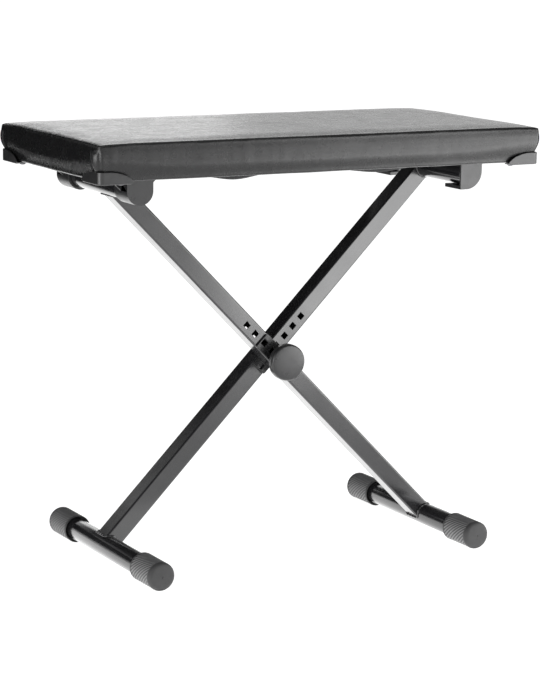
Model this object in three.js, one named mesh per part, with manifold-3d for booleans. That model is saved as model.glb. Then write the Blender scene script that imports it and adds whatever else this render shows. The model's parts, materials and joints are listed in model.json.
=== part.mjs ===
// Piano bench with a folding X frame and an upholstered seat.
// Millimetres. +X runs along the seat, -Y is the front, +Z is up.
// The origin is on the floor, under the middle of the bench.

import * as THREE from "three";
import { mergeVertices } from "three/addons/utils/BufferGeometryUtils.js";
import Module from "manifold-3d";

const wasm = await Module();
wasm.setup();

// Clearance between pieces that touch on the real bench.
const GAP = 0.3;

// X frame: each leg is one arm with a crossbar on top and a foot tube below.
const LEAN = THREE.MathUtils.degToRad(44.6); // arm from the vertical
const LOWER_LENGTH = 342.4; // bolt to foot tube axis
const UPPER_LENGTH = 352.8; // bolt to crossbar axis
const ARM_WIDTH = 25;
const ARM_DEPTH = 30;
const ARM_WALL = 1.6;
const ARM_EDGE_RADIUS = 2.5;
const ARM_SPACING = 4; // between the two arms, along Y
const BAR_RADIUS = 15;
const BAR_WALL = 1.6;
const CROSSBAR_HALF_LENGTH = 110;
const FOOT_TUBE_HALF_LENGTH = 162;

// Rubber foot caps.
const CAP_RADIUS = 19;
const CAP_END = 166.5; // |Y| of the closed end
const CAP_MOUTH = 106; // |Y| of the open end
const CAP_EDGE = 3.5;

// Height adjustment holes and the clamping parts at the crossing.
const HOLE_SIDE = 8.4;
const HOLE_PITCH = 18;
const HOLES_ABOVE_BOLT = 4;
const PLATE_THICKNESS = 3;
const PLATE_HALF_WIDTH = 12;
const PLATE_CORNER_RADIUS = 3;
const PLATE_ABOVE = 42;
const SPACER_BELOW = 24;
const WASHER_RADIUS = 12;
const WASHER_THICKNESS = 1.2;
const BOLT_RADIUS = 3.95;
const BOLT_NECK_SIDE = 7.9;
const BOLT_NECK_LENGTH = 4.5;
const BOLT_HEAD_RADIUS = 10;
const BOLT_HEAD_HEIGHT = 4.7;
const BOLT_FRONT_END = -53;
const KNOB_FACE = -60;
const KNOB_RADIUS = 25.2;
const KNOB_HEAD_DEPTH = 14;
const HUB_RADIUS = 12.5;
const INSERT_RADIUS = 6.3;
const INSERT_BORE = 4.25;
const INSERT_LENGTH = 11.3;

// Seat.
const SEAT_LENGTH = 650;
const SEAT_DEPTH = 320;
const SEAT_BOTTOM = 533;
const SEAT_TOP = 582;
const SEAT_CORNER_RADIUS = 6;
const SEAT_EDGE_RADIUS = 4;
const COVER_THICKNESS = 1.5;
const COVER_RETURN = 25; // width of the cover's turned-under edge
const COVER_OPENING_RADIUS = 10;
const BOARD_INSET = 9;
const BOARD_THICKNESS = 12;
const BOARD_CORNER_RADIUS = 4;
const LINING_TOP = 532.7;
const LINING_THICKNESS = 0.7;
const LINING_INSET = 20;
const LINING_CORNER_RADIUS = 8;

// Brackets that hold the crossbars. Local y runs outwards from the middle of the bench.
const BRACKET_INNER = 73.5;
const BRACKET_OUTER = 113.5;
const BRACKET_END_WALL = 3;
const BRACKET_PLATE = 2.4;
const CRADLE_RADIUS = 18.4;
const EAR_REACH = 33.6;
const GUSSET_THICKNESS = 2;
const FLARE = 5;
const HOOK_LEFT = 15;
const HOOK_RIGHT = 18.9;
const HOOK_BOTTOM = 20.2;
const HOOK_CORNER_RADIUS = 24;
const BRACKET_SCREW_OFFSET = 26.5;
const BRACKET_SCREW_ROWS = [83, 104];

// Plastic protectors on the seat's lower corners.
const PROTECTOR_PROUD = 1.8;
const PROTECTOR_EXTRA_RADIUS = 2; // its outer corner is rounder than the seat's
const PROTECTOR_FRONT_REACH = 48;
const PROTECTOR_SIDE_REACH = 54;
const PROTECTOR_HEIGHT = 17;
const PROTECTOR_TIP_HEIGHT = 5;
const PROTECTOR_SHOULDER = [8, 10]; // from the tip, where the level top edge gives way
const PROTECTOR_TIP_CUT = 3;
const PROTECTOR_PLATE = 1.8;
const PROTECTOR_FRONT_STRIP = 13; // width of the base plate along the front or rear edge
const PROTECTOR_SIDE_STRIP = 16; // and along the end of the seat
const PROTECTOR_INNER_CORNER = [302, 135];
const PROTECTOR_SCREWS = [[290, 147], [312.5, 120]];

// Wood screws.
const SCREW_HEAD_RADIUS = 3.8;
const SCREW_HEAD_HEIGHT = 2.2;
const SCREW_HEAD_BEVEL = 0.9;
const SCREW_RADIUS = 1.9;
const SCREW_LENGTH = 12.5;
const SCREW_POINT = 2.5;
const SCREW_HOLE_RADIUS = 2.3;

// Sides of the round pieces.
const TUBE_SIDES = 32;
const CAP_SIDES = 24; // foot caps and knob
const SMALL_SIDES = 16;
const SCREW_SIDES = 8;

// Values that follow from the driving dimensions.
const BOLT_Z = CAP_RADIUS + LOWER_LENGTH * Math.cos(LEAN);
const CROSSBAR_X = UPPER_LENGTH * Math.sin(LEAN);
const CROSSBAR_Z = BOLT_Z + UPPER_LENGTH * Math.cos(LEAN);
const ARM_FACE = ARM_SPACING / 2 + ARM_DEPTH;
const PLATE_FACE = -ARM_FACE - GAP - PLATE_THICKNESS;
const WASHER_FACE = PLATE_FACE - GAP - WASHER_THICKNESS;
const HUB_BACK = WASHER_FACE - GAP;
const CHANNEL_RADIUS = BAR_RADIUS + GAP;
const BRACKET_TOP = LINING_TOP - LINING_THICKNESS - GAP;
const BRACKET_PLATE_BOTTOM = BRACKET_TOP - BRACKET_PLATE;
const BOARD_BOTTOM = SEAT_BOTTOM + COVER_THICKNESS + GAP;
const BOARD_TOP = BOARD_BOTTOM + BOARD_THICKNESS;
const BRACKET_SCREW_SEAT = BRACKET_PLATE_BOTTOM - GAP;
const PROTECTOR_SCREW_SEAT = BRACKET_TOP - PROTECTOR_PLATE - GAP;

const paint = new THREE.MeshStandardMaterial({ color: 0x0c0c0d, roughness: 0.22, metalness: 0.3 });
const rubber = new THREE.MeshStandardMaterial({ color: 0x1c1c1c, roughness: 0.7, metalness: 0 });
const plastic = new THREE.MeshStandardMaterial({ color: 0x202021, roughness: 0.5, metalness: 0 });
const leatherette = new THREE.MeshStandardMaterial({ color: 0x161616, roughness: 0.4, metalness: 0 });
const steel = new THREE.MeshStandardMaterial({ color: 0x9a9a9c, roughness: 0.35, metalness: 1 });
const brass = new THREE.MeshStandardMaterial({ color: 0xb08d48, roughness: 0.4, metalness: 1 });
const plywood = new THREE.MeshStandardMaterial({ color: 0xb58a5a, roughness: 0.75, metalness: 0 });
const foam = new THREE.MeshStandardMaterial({ color: 0xd9cf9f, roughness: 0.95, metalness: 0 });
const lining = new THREE.MeshStandardMaterial({ color: 0x111111, roughness: 0.95, metalness: 0 });

// Triangles of an indexed geometry, without those that have shrunk to a line.
function fullTriangles(index) {
  const kept = [];
  for (let i = 0; i < index.length; i += 3) {
    const [a, b, c] = [index[i], index[i + 1], index[i + 2]];
    if (a !== b && b !== c && c !== a) kept.push(a, b, c);
  }
  return kept;
}

function signedVolume(positions, index) {
  const corners = [new THREE.Vector3(), new THREE.Vector3(), new THREE.Vector3()];
  let volume = 0;
  for (let i = 0; i < index.length; i += 3) {
    corners.forEach((corner, k) => corner.fromArray(positions, 3 * index[i + k]));
    volume += corners[0].dot(corners[1].cross(corners[2])) / 6;
  }
  return volume;
}

function flipped(index) {
  const turned = [];
  for (let i = 0; i < index.length; i += 3) turned.push(index[i], index[i + 2], index[i + 1]);
  return turned;
}

// A closed geometry with shared vertices and its faces pointing out.
function closed(geometry) {
  const bare = geometry.clone();
  bare.deleteAttribute("normal");
  bare.deleteAttribute("uv");
  const merged = mergeVertices(bare, 1e-4);
  const positions = merged.attributes.position.array;
  const index = fullTriangles(merged.index.array);
  merged.setIndex(signedVolume(positions, index) < 0 ? flipped(index) : index);
  merged.computeVertexNormals();
  return merged;
}

function toSolid(geometry) {
  const shape = closed(geometry);
  return new wasm.Manifold(new wasm.Mesh({
    numProp: 3,
    vertProperties: new Float32Array(shape.attributes.position.array),
    triVerts: new Uint32Array(shape.index.array),
  }));
}

function toGeometry(solid) {
  const { vertProperties, triVerts } = solid.getMesh();
  const geometry = new THREE.BufferGeometry();
  geometry.setAttribute("position", new THREE.BufferAttribute(vertProperties, 3));
  geometry.setIndex(Array.from(triVerts));
  geometry.computeVertexNormals();
  return geometry;
}

function join(...geometries) {
  return toGeometry(geometries.map(toSolid).reduce((whole, piece) => whole.add(piece)));
}

function cut(body, ...tools) {
  return toGeometry(tools.map(toSolid).reduce((rest, tool) => rest.subtract(tool), toSolid(body)));
}

function common(...geometries) {
  return toGeometry(geometries.map(toSolid).reduce((whole, piece) => whole.intersect(piece)));
}

// Mirror image across X = 0 and/or Y = 0.
function reflected(geometry, signX, signY) {
  return closed(geometry.clone().scale(signX, signY, 1));
}

function box(x0, x1, y0, y1, z0, z1) {
  const geometry = new THREE.BoxGeometry(x1 - x0, y1 - y0, z1 - z0);
  return geometry.translate((x0 + x1) / 2, (y0 + y1) / 2, (z0 + z1) / 2);
}

function rodY(radius, y0, y1, x, z) {
  const geometry = new THREE.CylinderGeometry(radius, radius, y1 - y0, TUBE_SIDES);
  return geometry.translate(x, (y0 + y1) / 2, z);
}

function rodZ(radius, x, y, z0, z1) {
  const geometry = new THREE.CylinderGeometry(radius, radius, z1 - z0, SCREW_SIDES);
  return geometry.rotateX(Math.PI / 2).translate(x, y, (z0 + z1) / 2);
}

// Turned about Y from [radius, y] pairs. A flat side, not an edge, faces straight down.
function turned(profile, sides) {
  const points = profile.map(([radius, y]) => new THREE.Vector2(radius, y));
  return closed(new THREE.LatheGeometry(points, sides, Math.PI / sides));
}

function tubeY(outer, wall, halfLength) {
  const inner = outer - wall;
  const ring = [[inner, -halfLength], [outer, -halfLength], [outer, halfLength], [inner, halfLength]];
  return turned([...ring, ring[0]], TUBE_SIDES);
}

// A shape drawn in X and Z, given a thickness along Y.
function extrudeY(shape, y0, y1, curveSegments = 10) {
  const options = { depth: y1 - y0, bevelEnabled: false, curveSegments };
  return new THREE.ExtrudeGeometry(shape, options).rotateX(Math.PI / 2).translate(0, y1, 0);
}

function extrudeZ(shape, z0, z1, edge = 0) {
  const geometry = new THREE.ExtrudeGeometry(shape, {
    depth: z1 - z0 - 2 * edge,
    bevelEnabled: edge > 0,
    bevelThickness: edge,
    bevelSize: edge,
    bevelOffset: -edge,
    bevelSegments: 2,
    curveSegments: 3,
  });
  return geometry.translate(0, 0, z0 + edge);
}

function roundedRect(x0, x1, y0, y1, radius) {
  const outline = new THREE.Shape();
  outline.absarc(x1 - radius, y0 + radius, radius, -Math.PI / 2, 0, false);
  outline.absarc(x1 - radius, y1 - radius, radius, 0, Math.PI / 2, false);
  outline.absarc(x0 + radius, y1 - radius, radius, Math.PI / 2, Math.PI, false);
  outline.absarc(x0 + radius, y0 + radius, radius, Math.PI, 1.5 * Math.PI, false);
  outline.closePath();
  return outline;
}

function centredRect(length, depth, radius) {
  return roundedRect(-length / 2, length / 2, -depth / 2, depth / 2, radius);
}

function polygon(points) {
  return new THREE.Shape(points.map(([x, y]) => new THREE.Vector2(x, y)));
}

function piece(name, geometry, material) {
  const mesh = new THREE.Mesh(closed(geometry), material);
  mesh.name = name;
  return mesh;
}

// Square hole through a piece at the crossing, seen along Y.
function squareHole(z, side, y0, y1) {
  return box(-side / 2, side / 2, y0, y1, z - side / 2, z + side / 2);
}

// Rectangular tube along local Z, coped onto the two round tubes it is welded to.
function armGeometry(centreY) {
  const outline = centredRect(ARM_WIDTH, ARM_DEPTH, ARM_EDGE_RADIUS);
  const innerRadius = ARM_EDGE_RADIUS - ARM_WALL;
  outline.holes.push(centredRect(ARM_WIDTH - 2 * ARM_WALL, ARM_DEPTH - 2 * ARM_WALL, innerRadius));
  const tube = extrudeZ(outline, -LOWER_LENGTH, UPPER_LENGTH).translate(0, centreY, 0);
  const y0 = centreY - ARM_DEPTH;
  const y1 = centreY + ARM_DEPTH;
  const tools = [-LOWER_LENGTH, UPPER_LENGTH].map((z) => rodY(CHANNEL_RADIUS, y0, y1, 0, z));
  for (let i = 0; i <= HOLES_ABOVE_BOLT; i += 1) {
    tools.push(squareHole(i * HOLE_PITCH, HOLE_SIDE, y0, y1));
  }
  return cut(tube, ...tools);
}

function footCapGeometry() {
  const bore = BAR_RADIUS + GAP;
  const floor = FOOT_TUBE_HALF_LENGTH + GAP;
  const corner = CAP_RADIUS / Math.cos(Math.PI / CAP_SIDES);
  return turned([
    [0, CAP_END],
    [CAP_RADIUS - CAP_EDGE, CAP_END - 1],
    [CAP_RADIUS - 0.9, CAP_END - CAP_EDGE],
    [corner, CAP_END - 2 * CAP_EDGE],
    [corner, CAP_MOUTH],
    [bore, CAP_MOUTH],
    [bore, floor],
    [0, floor],
  ], CAP_SIDES);
}

// The foot tube and its caps, level with the floor whichever way the leg leans.
function footGroup(side) {
  const group = new THREE.Group();
  group.add(piece(`${side}_foot_tube`, tubeY(BAR_RADIUS, BAR_WALL, FOOT_TUBE_HALF_LENGTH), paint));
  for (const end of ["rear", "front"]) {
    const cap = piece(`${end}_${side}_foot_cap`, footCapGeometry(), rubber);
    if (end === "front") cap.rotation.z = Math.PI;
    group.add(cap);
  }
  return group;
}

// One welded leg about the bolt: lean is positive where the top leans to the right.
function legGroup(armName, armCentreY, lean) {
  const [top, bottom] = lean > 0 ? ["right", "left"] : ["left", "right"];
  const group = new THREE.Group();
  group.position.z = BOLT_Z;
  group.rotation.y = lean;
  group.add(piece(armName, armGeometry(armCentreY), paint));
  const crossbar = piece(`${top}_crossbar`, tubeY(BAR_RADIUS, BAR_WALL, CROSSBAR_HALF_LENGTH), paint);
  crossbar.position.z = UPPER_LENGTH;
  const foot = footGroup(bottom);
  foot.position.z = -LOWER_LENGTH;
  foot.rotation.y = -lean;
  group.add(crossbar, foot);
  return group;
}

// Carriage bolt: domed head behind the rear arm, square neck in its rear wall.
function boltGeometry() {
  const seat = ARM_FACE + GAP;
  const body = turned([
    [0, BOLT_FRONT_END],
    [BOLT_RADIUS - 0.8, BOLT_FRONT_END],
    [BOLT_RADIUS, BOLT_FRONT_END + 0.8],
    [BOLT_RADIUS, seat],
    [BOLT_HEAD_RADIUS, seat],
    [BOLT_HEAD_RADIUS, seat + 0.2 * BOLT_HEAD_HEIGHT],
    [BOLT_HEAD_RADIUS * 0.84, seat + 0.66 * BOLT_HEAD_HEIGHT],
    [BOLT_HEAD_RADIUS * 0.48, seat + 0.92 * BOLT_HEAD_HEIGHT],
    [0, seat + BOLT_HEAD_HEIGHT],
  ], SMALL_SIDES);
  return join(body, squareHole(0, BOLT_NECK_SIDE, seat - BOLT_NECK_LENGTH, seat + GAP));
}

// Flat plastic plate on an arm's face, with square holes that match the arm's.
function plateGeometry(z0, z1, holes, y0, y1) {
  const outline = roundedRect(-PLATE_HALF_WIDTH, PLATE_HALF_WIDTH, z0, z1, PLATE_CORNER_RADIUS);
  const plate = extrudeY(outline, y0, y1, 3);
  const tools = holes.map((i) => squareHole(i * HOLE_PITCH, HOLE_SIDE + GAP, y0 - 1, y1 + 1));
  return cut(plate, ...tools);
}

function washerGeometry() {
  const hole = BOLT_RADIUS + 1.5 * GAP;
  const ring = [[hole, WASHER_FACE], [WASHER_RADIUS, WASHER_FACE]];
  const back = WASHER_FACE + WASHER_THICKNESS;
  return turned([...ring, [WASHER_RADIUS, back], [hole, back], ring[0]], SMALL_SIDES);
}

function insertGeometry() {
  const front = HUB_BACK - INSERT_LENGTH;
  const ring = [[INSERT_BORE, front], [INSERT_RADIUS, front]];
  return turned([...ring, [INSERT_RADIUS, HUB_BACK], [INSERT_BORE, HUB_BACK], ring[0]], SMALL_SIDES);
}

// Smooth round hand knob, bored from the back for the insert and the bolt's end.
function knobGeometry() {
  const headBack = KNOB_FACE + KNOB_HEAD_DEPTH;
  const socket = INSERT_RADIUS + GAP;
  const socketEnd = HUB_BACK - INSERT_LENGTH - GAP;
  const boltRoom = BOLT_RADIUS + 2 * GAP;
  return turned([
    [0, KNOB_FACE],
    [KNOB_RADIUS - 2.6, KNOB_FACE + 1.2],
    [KNOB_RADIUS - 0.7, KNOB_FACE + 3],
    [KNOB_RADIUS, KNOB_FACE + 5.5],
    [KNOB_RADIUS, headBack - 3],
    [KNOB_RADIUS - 0.8, headBack - 1],
    [KNOB_RADIUS - 3, headBack],
    [HUB_RADIUS + 1, headBack],
    [HUB_RADIUS, HUB_BACK],
    [socket, HUB_BACK],
    [socket, socketEnd],
    [boltRoom, socketEnd],
    [boltRoom, BOLT_FRONT_END - 2],
    [0, BOLT_FRONT_END - 2],
  ], CAP_SIDES);
}

function screwGeometry() {
  return turned([
    [0, -SCREW_HEAD_HEIGHT],
    [SCREW_HEAD_RADIUS - SCREW_HEAD_BEVEL, -SCREW_HEAD_HEIGHT],
    [SCREW_HEAD_RADIUS, 0],
    [SCREW_RADIUS, 0],
    [SCREW_RADIUS, SCREW_LENGTH - SCREW_POINT],
    [0, SCREW_LENGTH],
  ], SCREW_SIDES).rotateX(Math.PI / 2);
}

function screwPiece(name, x, y, z) {
  const screw = piece(name, screwGeometry(), steel);
  screw.position.set(x, y, z);
  return screw;
}

// Places of the wood screws as [x, y], the same in front and behind.
function bothEnds(places) {
  return places.flatMap(([x, y]) => [[x, -y], [x, y]]);
}

const bearingScrewPlaces = bothEnds(BRACKET_SCREW_ROWS.flatMap((y) => [
  [-CROSSBAR_X - BRACKET_SCREW_OFFSET, y],
  [-CROSSBAR_X + BRACKET_SCREW_OFFSET, y],
]));
const hookScrewPlaces = bothEnds(BRACKET_SCREW_ROWS.map((y) => [CROSSBAR_X + BRACKET_SCREW_OFFSET, y]));
const protectorScrewPlaces = bothEnds(PROTECTOR_SCREWS.flatMap(([x, y]) => [[-x, y], [x, y]]));

// Room for the bar inside a bracket, open on top or to the left, seen along Y.
function channelShape(openLeft) {
  const shape = new THREE.Shape();
  const far = CRADLE_RADIUS + 1;
  if (openLeft) {
    shape.moveTo(-far, -CHANNEL_RADIUS);
    shape.lineTo(0, -CHANNEL_RADIUS);
    shape.absarc(0, 0, CHANNEL_RADIUS, -Math.PI / 2, Math.PI / 2, false);
    shape.lineTo(-far, CHANNEL_RADIUS);
  } else {
    shape.moveTo(-CHANNEL_RADIUS, CHANNEL_RADIUS);
    shape.lineTo(-CHANNEL_RADIUS, 0);
    shape.absarc(0, 0, CHANNEL_RADIUS, Math.PI, 2 * Math.PI, false);
    shape.lineTo(CHANNEL_RADIUS, CHANNEL_RADIUS);
  }
  shape.closePath();
  return shape;
}

function cradleOutline(top) {
  const shape = new THREE.Shape();
  shape.moveTo(-CRADLE_RADIUS - FLARE, top);
  shape.lineTo(-CRADLE_RADIUS, top - FLARE);
  shape.absarc(0, 0, CRADLE_RADIUS, Math.PI, 2 * Math.PI, false);
  shape.lineTo(CRADLE_RADIUS, top - FLARE);
  shape.lineTo(CRADLE_RADIUS + FLARE, top);
  shape.closePath();
  return shape;
}

function hookOutline(top) {
  const shape = new THREE.Shape();
  const centreX = HOOK_RIGHT - HOOK_CORNER_RADIUS;
  const centreZ = HOOK_CORNER_RADIUS - HOOK_BOTTOM;
  shape.moveTo(-HOOK_LEFT, top);
  shape.lineTo(-HOOK_LEFT, -HOOK_BOTTOM);
  shape.absarc(centreX, centreZ, HOOK_CORNER_RADIUS, -Math.PI / 2, 0, false);
  shape.lineTo(HOOK_RIGHT, top - FLARE);
  shape.lineTo(HOOK_RIGHT + FLARE, top);
  shape.closePath();
  return shape;
}

// Triangular web under an ear, on the side given by sign.
function gusset(sign, wallX, plateBottom) {
  const root = wallX - 1;
  const web = polygon([
    [sign * root, plateBottom + 0.5],
    [sign * root, plateBottom - (EAR_REACH - root)],
    [sign * EAR_REACH, plateBottom - 1],
    [sign * EAR_REACH, plateBottom + 0.5],
  ]);
  const middle = (BRACKET_INNER + BRACKET_OUTER) / 2;
  return extrudeY(web, middle - GUSSET_THICKNESS / 2, middle + GUSSET_THICKNESS / 2);
}

// Bracket about the bar's axis, for the rear end of a crossbar.
function bracketGeometry(isHook) {
  const top = BRACKET_TOP - CROSSBAR_Z;
  const plateBottom = BRACKET_PLATE_BOTTOM - CROSSBAR_Z;
  const outline = isHook ? hookOutline(top) : cradleOutline(top);
  const left = isHook ? HOOK_LEFT : EAR_REACH;
  const endWall = BRACKET_OUTER - BRACKET_END_WALL;
  const channel = extrudeY(channelShape(isHook), BRACKET_INNER - 1, endWall);
  const web = cut(extrudeY(outline, BRACKET_INNER, BRACKET_OUTER), channel);
  const parts = [
    web,
    box(-left, EAR_REACH, BRACKET_INNER, BRACKET_OUTER, plateBottom, top),
    gusset(1, isHook ? HOOK_RIGHT : CRADLE_RADIUS, plateBottom),
  ];
  if (!isHook) parts.push(gusset(-1, CRADLE_RADIUS, plateBottom));
  const sides = isHook ? [1] : [-1, 1];
  const holes = sides.flatMap((side) => BRACKET_SCREW_ROWS.map((y) => (
    rodZ(SCREW_HOLE_RADIUS, side * BRACKET_SCREW_OFFSET, y, plateBottom - 6, top + 1)
  )));
  return cut(join(...parts), ...holes);
}

function bracketPieces() {
  const pieces = [];
  for (const [kind, x] of [["bearing", -CROSSBAR_X], ["hook", CROSSBAR_X]]) {
    for (const [end, sign] of [["front", -1], ["rear", 1]]) {
      const geometry = reflected(bracketGeometry(kind === "hook"), 1, sign);
      const bracket = piece(`${end}_${kind}_bracket`, geometry, plastic);
      bracket.position.set(x, 0, CROSSBAR_Z);
      pieces.push(bracket);
    }
  }
  return pieces;
}

// Height outline of a protector's wall: level by the corner, falling to a low tip.
function protectorWall(corner, reach, low) {
  const tip = corner - reach;
  const shape = new THREE.Shape();
  shape.moveTo(corner, low);
  shape.lineTo(corner, low + PROTECTOR_HEIGHT - 1);
  const [shoulderLength, shoulderHeight] = PROTECTOR_SHOULDER;
  const middle = corner - reach / 2;
  shape.quadraticCurveTo(middle, low + PROTECTOR_HEIGHT + 1, tip + shoulderLength, low + shoulderHeight);
  shape.quadraticCurveTo(tip, low + PROTECTOR_TIP_HEIGHT, tip, low + PROTECTOR_TIP_HEIGHT / 2);
  shape.lineTo(tip + PROTECTOR_TIP_CUT, low);
  shape.closePath();
  return shape;
}

// Moulded corner for the rear right of the seat: two low walls on a screwed-down base plate.
function protectorGeometry() {
  const halfLength = SEAT_LENGTH / 2 + PROTECTOR_PROUD;
  const halfDepth = SEAT_DEPTH / 2 + PROTECTOR_PROUD;
  const low = BRACKET_TOP - PROTECTOR_PLATE;
  const high = low + PROTECTOR_HEIGHT + 1;
  const outerRadius = SEAT_CORNER_RADIUS + PROTECTOR_EXTRA_RADIUS;
  const outer = extrudeZ(centredRect(2 * halfLength, 2 * halfDepth, outerRadius), low, high);
  const room = 2 * (PROTECTOR_PROUD - GAP);
  const roomShape = centredRect(2 * halfLength - room, 2 * halfDepth - room, SEAT_CORNER_RADIUS);
  const shell = cut(outer, extrudeZ(roomShape, BRACKET_TOP, high + 1));
  const frontX = halfLength - PROTECTOR_FRONT_REACH;
  const sideY = halfDepth - PROTECTOR_SIDE_REACH;
  const plan = polygon([
    [frontX, halfDepth],
    [frontX, halfDepth - PROTECTOR_FRONT_STRIP],
    PROTECTOR_INNER_CORNER,
    [halfLength - PROTECTOR_SIDE_STRIP, sideY],
    [halfLength, sideY],
    [halfLength, halfDepth],
  ]);
  const alongX = extrudeY(protectorWall(halfLength, PROTECTOR_FRONT_REACH, low), 0, halfDepth);
  const profileY = protectorWall(halfDepth, PROTECTOR_SIDE_REACH, low);
  const alongY = extrudeY(profileY, -halfLength, 0).rotateZ(Math.PI / 2);
  const body = common(shell, extrudeZ(plan, low, high), alongX, alongY);
  const holes = PROTECTOR_SCREWS.map(([x, y]) => rodZ(SCREW_HOLE_RADIUS, x, y, low - 1, BRACKET_TOP + 1));
  return cut(body, ...holes);
}

function protectorPieces() {
  const geometry = protectorGeometry();
  return [["front", -1], ["rear", 1]].flatMap(([end, signY]) => (
    [["left", -1], ["right", 1]].map(([side, signX]) => (
      piece(`${end}_${side}_corner_protector`, reflected(geometry, signX, signY), plastic)
    ))
  ));
}

function boardGeometry() {
  const outline = centredRect(
    SEAT_LENGTH - 2 * BOARD_INSET, SEAT_DEPTH - 2 * BOARD_INSET, BOARD_CORNER_RADIUS);
  const places = [...bearingScrewPlaces, ...hookScrewPlaces, ...protectorScrewPlaces];
  const holeTop = BRACKET_SCREW_SEAT + SCREW_LENGTH + 1;
  const holes = places.map(([x, y]) => rodZ(SCREW_HOLE_RADIUS, x, y, BOARD_BOTTOM - 1, holeTop));
  return cut(extrudeZ(outline, BOARD_BOTTOM, BOARD_TOP), ...holes);
}

function foamGeometry() {
  const inset = 2 * (COVER_THICKNESS + GAP);
  const outline = centredRect(SEAT_LENGTH - inset, SEAT_DEPTH - inset, SEAT_CORNER_RADIUS - inset / 2);
  const edge = SEAT_EDGE_RADIUS - COVER_THICKNESS;
  return extrudeZ(outline, BOARD_TOP + GAP, SEAT_TOP - COVER_THICKNESS - GAP, edge);
}

// Leatherette skin over foam and board, turned under the board's edge.
function coverGeometry() {
  const inset = 2 * COVER_THICKNESS;
  const skin = extrudeZ(
    centredRect(SEAT_LENGTH, SEAT_DEPTH, SEAT_CORNER_RADIUS), SEAT_BOTTOM, SEAT_TOP, SEAT_EDGE_RADIUS);
  const room = extrudeZ(
    centredRect(SEAT_LENGTH - inset, SEAT_DEPTH - inset, SEAT_CORNER_RADIUS - COVER_THICKNESS),
    SEAT_BOTTOM + COVER_THICKNESS, SEAT_TOP - COVER_THICKNESS, SEAT_EDGE_RADIUS - COVER_THICKNESS);
  const opening = extrudeZ(
    centredRect(SEAT_LENGTH - 2 * COVER_RETURN, SEAT_DEPTH - 2 * COVER_RETURN, COVER_OPENING_RADIUS),
    SEAT_BOTTOM - 1, SEAT_BOTTOM + COVER_THICKNESS + 1);
  const holes = protectorScrewPlaces.map(([x, y]) => (
    rodZ(SCREW_HOLE_RADIUS, x, y, SEAT_BOTTOM - 1, SEAT_BOTTOM + COVER_THICKNESS + 1)
  ));
  return cut(skin, room, opening, ...holes);
}

function liningGeometry() {
  const outline = centredRect(
    SEAT_LENGTH - 2 * LINING_INSET, SEAT_DEPTH - 2 * LINING_INSET, LINING_CORNER_RADIUS);
  const bottom = LINING_TOP - LINING_THICKNESS;
  const holes = [...bearingScrewPlaces, ...hookScrewPlaces].map(([x, y]) => (
    rodZ(SCREW_HOLE_RADIUS, x, y, bottom - 1, LINING_TOP + 1)
  ));
  return cut(extrudeZ(outline, bottom, LINING_TOP), ...holes);
}

function frontLeg() {
  const leg = legGroup("front_arm", -(ARM_SPACING + ARM_DEPTH) / 2, -LEAN);
  const plate = plateGeometry(-PLATE_HALF_WIDTH, PLATE_ABOVE, [0, 1, 2], PLATE_FACE, -ARM_FACE - GAP);
  leg.add(piece("clamp_plate", plate, plastic));
  return leg;
}

function rearLeg() {
  const leg = legGroup("rear_arm", (ARM_SPACING + ARM_DEPTH) / 2, LEAN);
  const half = ARM_SPACING / 2 - GAP;
  const spacer = plateGeometry(-SPACER_BELOW, PLATE_HALF_WIDTH, [0, -1], -half, half);
  leg.add(piece("arm_spacer", spacer, plastic), piece("pivot_bolt", boltGeometry(), steel));
  return leg;
}

function knobGroup() {
  const group = new THREE.Group();
  group.position.z = BOLT_Z;
  group.add(
    piece("knob_washer", washerGeometry(), steel),
    piece("knob_insert", insertGeometry(), brass),
    piece("knob", knobGeometry(), plastic),
  );
  return group;
}

function seat() {
  const group = new THREE.Group();
  group.add(
    piece("seat_board", boardGeometry(), plywood),
    piece("seat_foam", foamGeometry(), foam),
    piece("seat_cover", coverGeometry(), leatherette),
    piece("seat_lining", liningGeometry(), lining),
    ...bracketPieces(),
    ...protectorPieces(),
  );
  const rows = [
    ["bearing_screw", bearingScrewPlaces, BRACKET_SCREW_SEAT],
    ["hook_screw", hookScrewPlaces, BRACKET_SCREW_SEAT],
    ["protector_screw", protectorScrewPlaces, PROTECTOR_SCREW_SEAT],
  ];
  for (const [name, places, z] of rows) {
    places.forEach(([x, y], i) => group.add(screwPiece(`${name}_${i + 1}`, x, y, z)));
  }
  return group;
}

const bench = new THREE.Group();
bench.add(frontLeg(), rearLeg(), knobGroup(), seat());

export default bench;
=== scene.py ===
"""Piano bench with a folding X frame and an upholstered seat: the visual model.

Metres. +X runs along the seat, -Y is the front and +Z is up. Every piece takes its place and
its size from the CAD node that it stands for, and rides on that node's body.
"""
import json
import math

import bmesh
import bpy
import numpy as np
from mathutils import Matrix, Vector
from mathutils.noise import noise


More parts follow.
